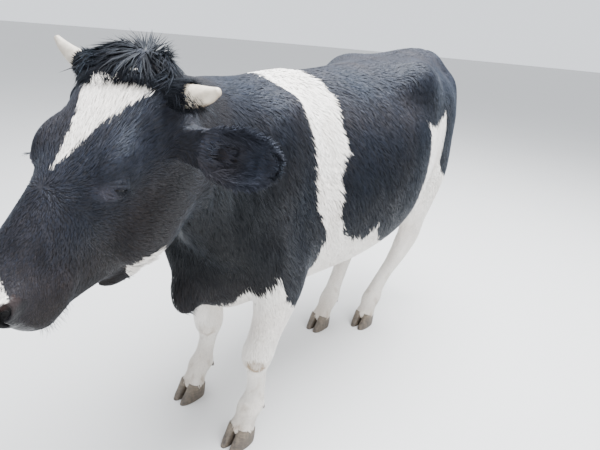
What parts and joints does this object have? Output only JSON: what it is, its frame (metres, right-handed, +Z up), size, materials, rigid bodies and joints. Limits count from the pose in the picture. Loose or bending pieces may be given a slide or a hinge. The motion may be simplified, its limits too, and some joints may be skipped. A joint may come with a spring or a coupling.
{
  "type": "cow model",
  "caption": "Life-size still model of a young black-and-white cow standing with its head turned to its left.",
  "frame": {"origin": "middle of the object's bounding box, on the floor under the four feet", "axes": "+X towards the animal's left side, -Y the way the trunk faces, +Z up"},
  "size_m": [0.7758, 2.1244, 1.3009],
  "materials": {
    "coat": "short black and white hair, longer on the poll, ears, brisket and switch",
    "horn": "dull horn, cream towards the tip",
    "claw": "worn dark claw",
    "eye": "wet dark brown eye"
  },
  "bodies": {
    "root": {"ear_left": "coat", "ear_right": "coat", "eye_left": "eye", "eye_right": "eye", "foreleg_left_claw_inner": "claw", "foreleg_left_claw_outer": "claw", "foreleg_left_lower": "coat", "foreleg_left_upper": "coat", "foreleg_right_claw_inner": "claw", "foreleg_right_claw_outer": "claw", "foreleg_right_lower": "coat", "foreleg_right_upper": "coat", "head": "coat", "hindleg_left_claw_inner": "claw", "hindleg_left_claw_outer": "claw", "hindleg_left_lower": "coat", "hindleg_left_upper": "coat", "hindleg_right_claw_inner": "claw", "hindleg_right_claw_outer": "claw", "hindleg_right_lower": "coat", "hindleg_right_upper": "coat", "horn_left": "horn", "horn_right": "horn", "neck": "coat", "tail": "coat", "tail_switch": "coat", "trunk": "coat"}
  },
  "joints": []
}
